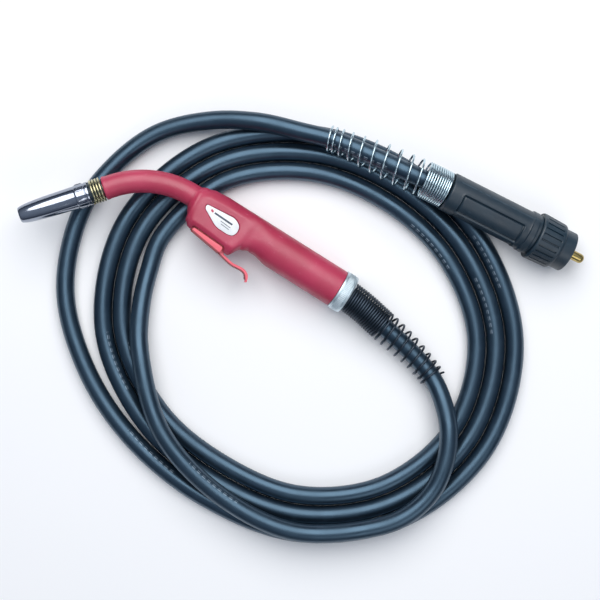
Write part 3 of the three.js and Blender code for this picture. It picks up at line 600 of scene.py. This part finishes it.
def handle_solid():
    stations = np.concatenate([np.arange(0, 84, 1.5), np.arange(84, 151, 0.75), [151]])
    angle = np.linspace(0, 2 * math.pi, 144, endpoint=False)
    rows = [handle_loop(s, angle) for s in stations]
    body = skin("handle", rows, [*stations, 0], np.linspace(0, 100, 145))
    combined(body, "UNION", turned("spigot", [(SPIGOT_L, 0), (SPIGOT_L, SPIGOT_R),
                                              (-6, SPIGOT_R), (-6, 0)], 64))
    rear_hole = turned("tool", [(-8, 0), (-8, 10.6), (SPIGOT_L + 1, 10.6), (SPIGOT_L + 1, 0)], 48)
    front_hole = turned("tool", [(-160, 0), (-160, SLEEVE_R + 0.35), (-130, SLEEVE_R + 0.35),
                                 (-130, 0)], 64)
    front_hole.data.transform(moved(0, NECK_OFFSET, 0))
    combined(body, "DIFFERENCE", rear_hole, front_hole, prism("tool", SLOT, -20, 20),
             block("tool", (-144.6, -40, -CAVITY_HALF_W), (-84, -14, CAVITY_HALF_W)),
             block("tool", (-137.4, -26, -CHEEK_HALF_W - 0.5), (-104.4, -14.6, CHEEK_HALF_W + 0.5)),
             block("tool", (BUTTON_X - 2.4, -15, -4), (BUTTON_X + 2.4, -11.6, 4)),
             prism("tool", badge_outline(0.55), BADGE_Z - BADGE_DEPTH - 0.3, 30))
    for x, y in SCREW_SPOTS:
        combined(body, "DIFFERENCE", rod("tool", x, y, SCREW_HEAD_R + 0.3, -20, SCREW_HEAD_Z + 0.3))
    return body


def handle_shells():
    for side, node in ((1, "handle_shell_left"), (-1, "handle_shell_right")):
        half = handle_solid()
        low, high = sorted((0.15 * side, 60 * side))
        combined(half, "INTERSECT", block("tool", (-200, -60, low), (60, 60, high)))
        half.name = node.replace("shell", "half")
        moulded(half, 0.44, 3)
        placed(half, HANDLE, RED, "torch", "red_plastic", node, sharp=180)


def cross_head_screw(name, head_r, shank, node, x, y, z, where):
    """A pan head with a cross recess. The head looks down, at the hidden side."""
    outline = [(-shank, 0), (-shank, 1.2), (-shank + 0.6, 1.4), (0, 1.4), (0, head_r - 0.2),
               (0.2, head_r), (1.3, head_r), (1.9, head_r * 0.8), (2.2, head_r * 0.4), (2.25, 0)]
    screw = turned(name, outline, 40)
    combined(screw, "DIFFERENCE", block("tool", (1.1, -0.3, -1.5), (3, 0.3, 1.5)),
             block("tool", (1.1, -1.5, -0.3), (3, 1.5, 0.3)))
    placed(screw, where @ moved(x, y, z) @ turned_by(math.pi / 2, "Y"), STEEL, "torch", "steel",
           node)
    return screw


def handle_screws():
    for i, (x, y) in enumerate(SCREW_SPOTS, 1):
        cross_head_screw(f"handle_cross_screw_{i}", SCREW_HEAD_R, 16.5, f"handle_screw_{i}", x, y,
                         SCREW_HEAD_Z, HANDLE)


def badge():
    """A domed white badge. Plain lines stand for its print."""
    plate = prism("badge_dome", badge_outline(0), BADGE_Z - BADGE_DEPTH, BADGE_Z + 0.1, 0.3)
    placed(plate, HANDLE, BADGE_WHITE, "torch", "badge_white", "badge_plate")
    lines = [(-127.5, -1.4, 18.5, 0.8, INK), (-119.5, -4.6, 10.5, 0.28, INK),
             (-118, -6.6, 8.5, 0.25, INK), (-131.5, -0.6, 2.8, 1.0, RED_INK)]
    for i, (x, y, length, half, ink) in enumerate(lines, 1):
        corners = [(x, y - half), (x + length, y - half - 0.7), (x + length, y + half - 0.7),
                   (x, y + half)]
        line = prism(f"badge_line_{i}", softened(corners, half * 0.8), BADGE_Z + 0.1,
                     BADGE_Z + 0.16)
        placed(line, HANDLE, ink, "torch", "badge_white")


def lock_ring():
    """A knurled metal ring over the joint of handle and cable."""
    corners = [(0.3, SPIGOT_R + 0.3), (0.3, RING_R - 0.3), (1.6, RING_R), (1.9, RING_R - 0.5),
               (2.4, RING_R - 0.5), (2.7, RING_R), (8.6, RING_R), (8.9, RING_R - 0.5),
               (9.4, RING_R - 0.5), (9.7, RING_R - 0.1), (RING_L, RING_R - 0.8), (RING_L, 10.4),
               (SPIGOT_L + 0.3, 10.4), (SPIGOT_L + 0.3, SPIGOT_R + 0.3)]

    def knurl(x, r, angle):
        band = (x > 2.9) & (x < 8.4) & (r > RING_R - 0.3)
        return np.where(band, -0.32 * np.abs(np.sin(angle * 36)) ** 3, 0)

    outline = softened(corners, 0.25)
    fine = np.array([(x, RING_R) for x in np.linspace(3, 8.3, 12)])
    split = int(np.argmax((outline[:, 0] > 5) & (outline[:, 1] > RING_R - 0.1)))
    outline = np.vstack([outline[:split], fine, outline[split:]])
    ring = turned("knurled_lock_ring", outline, 360, knurl)
    placed(ring, HANDLE, RING_METAL, "lock_ring", "ring_metal", "lock_ring")


# ---------------------------------------------------------------- trigger
def bezier(p0, p1, p2, p3, steps=8):
    p0, p1, p2, p3 = (np.array(p, float) for p in (p0, p1, p2, p3))
    return [p0 * (1 - t) ** 3 + 3 * p1 * t * (1 - t) ** 2 + 3 * p2 * t**2 * (1 - t) + p3 * t**3
            for t in np.linspace(0, 1, steps + 1)[1:]]


def shifted(line, by):
    """A line moved to its left."""
    left = np.stack([-np.gradient(line[:, 1]), np.gradient(line[:, 0])], -1)
    return line + left / np.linalg.norm(left, axis=1)[:, None] * by


def ribbed(edge, pitch=1.42, depth=0.7):
    """An outer edge with fine cross ribs. The inside is on its left."""
    at = np.concatenate([[0], np.cumsum(np.linalg.norm(np.diff(edge, axis=0), axis=1))])
    ribs = int(at[-1] / pitch)
    s = (np.arange(ribs)[:, None] + [0, 0.12, 0.55, 0.67]).ravel() * pitch
    line = np.stack([np.interp(s, at, edge[:, k]) for k in (0, 1)], -1)
    return shifted(line, depth * np.tile([1, 0, 0, 1], ribs)[:, None])


def grip_edge():
    """The trigger's outer edge, from the pivot's end to the curled tip."""
    return np.array([
        (-138.6, -24.9), (-136.6, -26), (-105, -30.6),
        *bezier((-105, -30.6), (-99.7, -31.8), (-93, -33.8), (-88.5, -33.4)),
        *bezier((-88.5, -33.4), (-84, -32.8), (-79.8, -32), (-77.4, -34.2)),
        *bezier((-77.4, -34.2), (-76.2, -35.4), (-75.2, -36.9), (-74.4, -38.6), 5)])


def lever_outline():
    """The trigger's side view: a bar, a J-curled tail, the web inside and the pivot."""
    outline = [(-143.4, -21.6), (-142.2, -23.3), (-139.4, -24.4), *shifted(grip_edge(), 0.9),
               *bezier((-74.4, -38.6), (-73.4, -39.1), (-72.5, -38.9), (-71.7, -38), 4),
               *bezier((-71.7, -38), (-72.2, -34.8), (-73.4, -32.5), (-75.4, -31)),
               *bezier((-75.4, -31), (-79.5, -28.2), (-84, -29.3), (-88.5, -29.9)),
               *bezier((-88.5, -29.9), (-92.5, -30.2), (-97, -28.8), (-101.6, -28)),
               (-102.4, -26.8), (-102.8, -21.2), (-104.2, -20), (-118.5, -19.2), (-126, -18.9),
               (BUTTON_X + 1.2, -18.4), (BUTTON_X - 1.2, -18.4), (BUTTON_X - 2, -18.8),
               (-137, -18.4)]
    for a in np.linspace(0.62, math.pi + 0.35, 10):
        outline.append((PIVOT[0] + 3.1 * math.cos(a), PIVOT[1] + 3.1 * math.sin(a)))
    return outline


def trigger():
    lever = prism("trigger_bar", lever_outline(), -LEVER_HALF_W, LEVER_HALF_W, 0.3)
    cheeks = softened([(-136.4, -21.4), (-136.4, -25.1), (-105.4, -28.8), (-105.4, -22.9)], 1.8)
    combined(lever, "UNION", prism("tool", cheeks, -CHEEK_HALF_W, CHEEK_HALF_W, 0.5))
    combined(lever, "DIFFERENCE", rod("tool", *PIVOT, 1.8, -10, 10),
             block("tool", (RETURN_SPRING_X - 3.3, -22, -2.8), (RETURN_SPRING_X + 3.3, -18, 2.8)))
    placed(lever, HANDLE, SALMON, "trigger", "trigger_plastic", "trigger_lever", sharp=50)
    across_cheeks = np.array([(-136.3, -26.04), (-121, -28.3), (-105.8, -30.5)])
    # The rib strips take the darkened rib colour, which is painted shade.
    for name, edge, depth, half in (
            ("trigger_grip_ribs", grip_edge(), 1.5, LEVER_HALF_W + 0.1),
            ("trigger_cheek_ribs", across_cheeks, 2.2, CHEEK_HALF_W + 0.1)):
        strip = prism(name, [*ribbed(edge), *shifted(edge, depth)[::-1]], -half, half, 0.15)
        placed(strip, HANDLE, SHADED_SALMON, "trigger", "trigger_plastic", sharp=40)


def trigger_spring():
    """The small coil that pushes the lever out. The real one shortens as the trigger is pulled; this
    one keeps one shape.
    """
    top, middle, bottom = ((RETURN_SPRING_X, y, 0) for y in (-16.1, -18.8, -21.6))
    made = coil("trigger_return_spring", Line([top, middle, bottom]), 0.05,
                [1.1, 1.4, 1.5, 1.4], lambda s: 1.9, 0.4, 24)
    placed(made, HANDLE, ZINC, "torch", "zinc_wire", "trigger_spring")
    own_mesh(made)


# ---------------------------------------------------------------- neck and nozzle
def neck_line(start):
    bend = [(-HANDLE_L - NECK_BEND_R * math.sin(a), NECK_OFFSET - NECK_BEND_R * (1 - math.cos(a)), 0)
            for a in np.linspace(0, NECK_BEND, 15)]
    return Line([(-start, NECK_OFFSET, 0), *bend, NECK_END])


def neck_sleeve():
    line = neck_line(HANDLE_L - 11)
    s = np.linspace(0, line.length, 140)
    from_end = line.length - s
    lip = 0.3 * smoothstep(3.4, 2.9, from_end)
    rounding = 0.9 * (1 - np.sqrt(np.clip(1 - (1 - np.clip(from_end / 0.9, 0, 1)) ** 2, 0, 1)))
    sleeve = tube("neck_cover", line.at(s), SLEEVE_R - 0.15 + lip - rounding, 72, False)
    placed(sleeve, HANDLE, RED, "torch", "red_plastic", "neck_sleeve", sharp=50)


def nozzle_seat():
    corners = [(0.4, 6.3), (0.4, 8.2)]
    for x in np.arange(1.6, 12, 2.5):
        corners += [(x, 8.2), (x + 0.2, 7.7), (x + 1.1, 7.7), (x + 1.3, 8.2)]
    corners += [(18.5, 8.2), (18.5, 6.3)]
    seat = turned("ribbed_nozzle_seat", softened(corners, 0.12, 2), 64)
    placed(seat, NOSE, BLACK, "torch", "black_plastic", "nozzle_seat")


def nozzle_spring():
    line = Line([(0, 0, 0), (7, 0, 0), (14, 0, 0)])
    made = coil("nozzle_retaining_spring", line, 1.4, [2.54] * 4, lambda s: 9.9, 1.0, 36)
    placed(made, NOSE, PALE_BRASS, "torch", "brass", "nozzle_spring")


def gas_nozzle():
    """A drawn bullet-shaped nozzle, with a turned foot that has six raised pads."""
    foot = [(12.8, 9.1), (12.8, 9.9), (13.3, 10.4), (15.4, 10.4), (15.7, 10.05), (16.4, 10.05),
            (16.7, 10.4)]
    pads = [(x, 10.4) for x in (17.5, 17.8, 20, 23.4, 23.7)]
    cone = [(24.6, 10.4), (25.2, 10), (36, 9.85), (46.8, 9.65), (55, 9.4), (62.2, 9), (67, 8.6),
            (70.6, 8.15), (73.4, 7.6), (75.2, 7.1), (76.2, 6.5), (76.2, 6), (59.2, 7.2),
            (46.8, 8.5), (24.8, 9.1)]

    def raised(x, r, angle):
        inside = (r > 10.3) & (x > 17.6) & (x < 23.6)
        return np.where(inside, 0.5 * smoothstep(0.52, 0.66, np.cos(angle * 6)), 0)

    nozzle = turned("turned_gas_nozzle", np.vstack([softened(foot, 0.3, closed=False), pads,
                                                    softened(cone, 1.5, closed=False)]), 288, raised)
    placed(nozzle, NOSE, CHROME, "nozzle", "chrome", "gas_nozzle")


def gas_diffuser():
    corners = [(14, 1.4), (14, 5.6), (19, 5.6), (19, 7.4), (31, 7.4), (34, 5.6), (41, 5.2),
               (41, 3.3), (33, 3.3), (33, 1.4)]
    diffuser = turned("drilled_gas_diffuser", softened(corners, 0.3), 64)
    for i in range(6):
        hole = rod("tool", 25, 0, 1.1, 4.5, 9, 20)
        hole.data.transform(turned_by(i * math.pi / 3, "X"))
        combined(diffuser, "DIFFERENCE", hole)
    placed(diffuser, NOSE, BRASS, "torch", "brass", "gas_diffuser")


def contact_tip():
    corners = [(33.4, 0.7), (33.4, 3), (41.4, 3), (41.4, 4), (46, 4), (46.3, 3.7), (50, 3.7),
               (50.3, 4), (68, 4), (70.6, 2.9), (71, 2.5), (71, 0.7)]
    tip = turned("turned_contact_tip", softened(corners, 0.2), 64)
    placed(tip, NOSE, COPPER, "contact_tip", "copper", "contact_tip")


# ---------------------------------------------------------------- machine plug
HOUSING_SCREWS = (-88, -42)
PANEL_X = (-98.5, -38.5)
PANELS = [(115.5 * RAD, 9.9), (180 * RAD, 7.4), (295.5 * RAD, 9.9)]  # middle, half width


def panel_depth(x, angle, middle, half_width):
    """How deep a long finger panel is at a point of the housing. A groove runs round inside it."""
    corner = 1.6
    across = np.abs((angle - middle + math.pi) % (2 * math.pi) - math.pi) * HOUSING_R[1]
    dx = np.abs(x - sum(PANEL_X) / 2) - (PANEL_X[1] - PANEL_X[0]) / 2 + corner
    dy = across - half_width + corner
    outside = np.hypot(np.maximum(dx, 0), np.maximum(dy, 0)) + np.minimum(np.maximum(dx, dy), 0)
    edge = outside - corner
    groove, rim = (np.exp(-((edge - at) / wide) ** 2) for at, wide in ((-0.75, 0.6), (0.8, 0.45)))
    return smoothstep(0.3, -0.3, edge) * 0.75 + 1.0 * groove - 0.2 * rim


def housing_radius(x):
    mid = HOUSING_START + 60
    stations = [[HOUSING_START, HOUSING_R[0] - 0.9], [HOUSING_START + 0.9, HOUSING_R[0]],
                [mid, sum(HOUSING_R) / 2], [HOUSING_END - 9, HOUSING_R[1] - 0.3],
                [HOUSING_END - 8.3, HOUSING_R[1] + 0.8], [HOUSING_END - 3, HOUSING_R[1] + 0.8],
                [HOUSING_END - 2.4, HOUSING_R[1]], [HOUSING_END, HOUSING_R[1]]]
    return np.interp(x, *zip(*stations))


def housing_half(name, node, first):
    """Half of the housing, as C-shaped loops from one parting edge to the other."""
    x = np.concatenate([np.linspace(HOUSING_START, HOUSING_START + 1, 5),
                        np.arange(HOUSING_START + 1.6, HOUSING_END, 0.6), [HOUSING_END]])
    angle = np.linspace(first + 0.009, first + math.pi - 0.009, 190)
    back = np.linspace(angle[-1], angle[0], 40)
    rows = []
    for station in x:
        depth = sum(panel_depth(station, angle, *panel) for panel in PANELS)
        lip = np.minimum(angle - first, first + math.pi - angle) * HOUSING_R[1]
        r = housing_radius(station) - depth - 0.25 * np.exp(-lip / 0.25)
        outer = np.stack([np.full_like(angle, station), r * np.cos(angle), r * np.sin(angle)], -1)
        bore = 10.2 if station < HOUSING_START + 6 else 13.5
        inner = np.stack([np.full_like(back, station), bore * np.cos(back), bore * np.sin(back)], -1)
        rows.append(np.vstack([outer, inner]))
    half = skin(name, rows, [*x, 0], np.linspace(0, 100, len(rows[0]) + 1))
    if first:
        for spot in HOUSING_SCREWS:
            combined(half, "DIFFERENCE", rod("tool", spot, 15.4, 3.0, -30, -6.3))
    return placed(half, PLUG, BLACK, "torch", "black_plastic", node, sharp=35)


def plug_housing():
    pieces = [housing_half("plug_shell_upper", "plug_housing_upper", 0),
              housing_half("plug_shell_lower", "plug_housing_lower", math.pi)]
    for i, x in enumerate(HOUSING_SCREWS, 1):
        pieces.append(cross_head_screw(f"housing_cross_screw_{i}", 2.7, 10, f"housing_screw_{i}", x,
                                       15.4, -6.3, PLUG))
    return pieces


def plug_core():
    """The plug's body with its pin wells, the brass nipple, its ring, and the two sprung pins."""
    corners = [(-39.7, 4.6), (-39.7, 13.1), (-6.3, 13.1), (-6.3, 14.8), (-2, 14.8), (-2, 13.2),
               (1.4, 13.2), (2, 12.6), (2, 10.9), (1.3, 10.7), (1.3, 6.6), (2, 6.4), (2, 4.6)]
    body = turned("plug_insulator", softened(corners, 0.25), 96)
    spots = [(side * PIN_CIRCLE_R * math.sin(PIN_ANGLE), PIN_CIRCLE_R * math.cos(PIN_ANGLE))
             for side in (-1, 1)]
    pins = []
    for i, (y, z) in enumerate(spots, 1):
        well = turned("tool", [(-24, 0), (-24, 2.3), (4, 2.3), (4, 0)], 32)
        well.data.transform(moved(0, y, z))
        combined(body, "DIFFERENCE", well)
        pin = turned(f"sprung_pin_{i}", [(-20, 0), (-20, 2), (7.2, 2), (8.3, 1.75), (9, 1.2),
                                         (9.35, 0.6), (9.4, 0)], 32)
        pin.data.transform(moved(0, y, z))
        pins.append(placed(pin, PLUG, BRASS, f"pin_{i}", "brass", f"control_pin_{i}"))
    placed(body, PLUG, BLACK, "torch", "black_plastic", "plug_body")
    nipple = softened([(-38, 1.6), (-38, 4.3), (8, 4.3), (8, 3.4), (10.2, 3.4), (10.2, 4.3),
                       (24.6, 4.3), (26.3, 3.7), (27.2, 2.7), (27.6, 2), (27.6, 1.6)], 0.35)
    stem = placed(turned("rounded_gas_nipple", nipple, 64), PLUG, BRASS, "torch", "brass",
                  "gas_nipple")
    a = np.linspace(0, 2 * math.pi, 17)[:-1]
    seal = turned("sealing_ring", np.column_stack([9.1 + 0.68 * np.cos(a), 4.1 + 0.68 * np.sin(a)]),
                  64)
    placed(seal, PLUG, SHEATH, "torch", "cable_rubber", "nipple_o_ring")
    return [body, stem, seal, *pins]


def union_nut():
    """The nut: finger pads between narrow grooves, a plain front edge and a plain skirt."""
    back, front = NUT_R
    outer = [(-NUT_L, back - 1.2), (-NUT_L + 0.5, back - 0.3), (-NUT_L + 1.6, back)]
    outer += [(x, back + (front - back) * (x + NUT_L) / NUT_L)
              for x in np.arange(-NUT_L + 2.2, -1.6, 0.35)]
    outer += [(-0.6, front - 0.5), (-0.1, front - 1.5)]
    inner = softened([(0, SKIRT_R + 0.4), (0.4, SKIRT_R), (SKIRT_L, SKIRT_R),
                      (SKIRT_L, SKIRT_BORE_R), (-6.6, SKIRT_BORE_R), (-6.6, 13.4),
                      (-NUT_L, 13.4), (-NUT_L, back - 1.6)], 0.5)

    def grooves(x, r, angle):
        band = smoothstep(-NUT_L + 2.4, -NUT_L + 3.2, x) * smoothstep(-3.2, -4.2, x)
        across = np.abs((angle / (2 * math.pi) * NUT_RIBS) % 1 - 0.5)
        return -1.3 * band * smoothstep(0.155, 0.09, across) * (r > 19)

    nut = turned("ribbed_union_nut", np.vstack([outer, inner]), 24 * 32, grooves)
    return placed(nut, PLUG, BLACK, "union_nut", "black_plastic", "union_nut", sharp=30)


# ---------------------------------------------------------------- CAD nodes that stay
KEPT = {"neck_tube": BRASS, "neck_tube_end": BRASS, "micro_switch": BLACK, "switch_button": SALMON,
        "trigger_pin": STEEL, "cable_socket_front": BRASS, "cable_socket_rear": BRASS,
        "plug_conduit": BRASS}


def finish_kept_nodes():
    for name, material in KEPT.items():
        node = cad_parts[name]
        node.data.materials.clear()
        node.data.materials.append(material)


# ---------------------------------------------------------------- room
FLOOR_HALF = 40.0
WALL_LIGHT, CEILING_LIGHT = (0.05, 0.065, 0.095, 1), (0.30, 0.35, 0.43, 1)


def floor():
    corners = [(-1, -1), (1, -1), (1, 1), (-1, 1)]
    plane = new_object("floor", [(x * FLOOR_HALF, y * FLOOR_HALF, 0) for x, y in corners],
                       [(0, 1, 2, 3)])
    plane.data.materials.append(FLOOR_PAINT)


def softbox(name, place, size, radiance, tint):
    """A round soft light that looks at the object. radiance is how bright its face is."""
    light = bpy.data.lights.new(name, "AREA")
    light.shape, light.size, light.color = "DISK", size, tint
    light.energy = radiance * math.pi * math.pi * size * size / 4
    lamp = bpy.data.objects.new(name, light)
    lamp.location = place
    lamp.rotation_euler = (Vector((*VIEW_CENTRE, 0)) - Vector(place)).to_track_quat(
        "-Z", "Y").to_euler()
    bpy.context.scene.collection.objects.link(lamp)


def room_light():
    """Dim blue-grey walls, a little brighter overhead."""
    world = bpy.data.worlds.new("room")
    bpy.context.scene.world = world
    world.use_nodes = True
    tree = world.node_tree
    place = tree.nodes.new("ShaderNodeTexCoord")
    split = tree.nodes.new("ShaderNodeSeparateXYZ")
    ramp = tree.nodes.new("ShaderNodeValToRGB")
    low, high = ramp.color_ramp.elements
    low.position, high.position = 0.1, 0.95
    low.color, high.color = WALL_LIGHT, CEILING_LIGHT
    tree.links.new(place.outputs["Generated"], split.inputs[0])
    tree.links.new(split.outputs["Z"], ramp.inputs["Fac"])
    tree.links.new(ramp.outputs["Color"], tree.nodes["Background"].inputs["Color"])
    tree.nodes["Background"].inputs["Strength"].default_value = 1.0


def room():
    floor()
    room_light()
    softbox("key", (-0.34, 0.70, 1.48), 2.0, 3.3, (1.0, 0.985, 0.965))
    softbox("fill", (1.3, -0.7, 1.5), 1.2, 1.5, (1.0, 0.99, 0.975))
    bpy.context.scene.view_settings.view_transform = "Standard"


# ---------------------------------------------------------------- build
def main():
    make_camera()
    sheath, points = cable()
    plug_pieces = [rear_spring(), *plug_housing(), *plug_core(), union_nut(),
                   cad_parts["cable_socket_rear"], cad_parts["plug_conduit"]]
    front_spring()
    handle_shells()
    handle_screws()
    badge()
    lock_ring()
    trigger()
    trigger_spring()
    neck_sleeve()
    nozzle_seat()
    nozzle_spring()
    gas_nozzle()
    gas_diffuser()
    contact_tip()
    finish_kept_nodes()
    room()


main()
